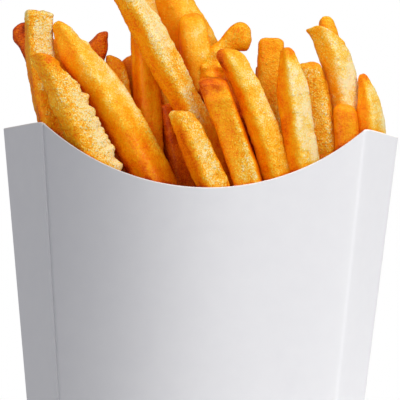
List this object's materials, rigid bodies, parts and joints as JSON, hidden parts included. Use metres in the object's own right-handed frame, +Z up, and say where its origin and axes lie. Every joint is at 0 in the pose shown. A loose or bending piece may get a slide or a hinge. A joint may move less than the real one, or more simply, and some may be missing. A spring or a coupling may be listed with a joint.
{
  "type": "french fries in a carton",
  "caption": "Heap of golden french fries standing fanned out in a plain white six-sided paperboard scoop carton with a low curved front edge.",
  "frame": {"origin": "middle of the carton's base, on the surface that it stands on", "axes": "+Z up, +X to the right along the wide panels, +Y from the scooped front panel to the back panel"},
  "size_m": [0.1118, 0.0498, 0.1513],
  "materials": {
    "white_board": "smooth white coated paperboard, soft satin",
    "fried_potato": "golden fried potato, granular crust with a thin sheen of oil"
  },
  "bodies": {
    "root": {"carton": "white_board", "fries": "fried_potato"}
  },
  "joints": []
}
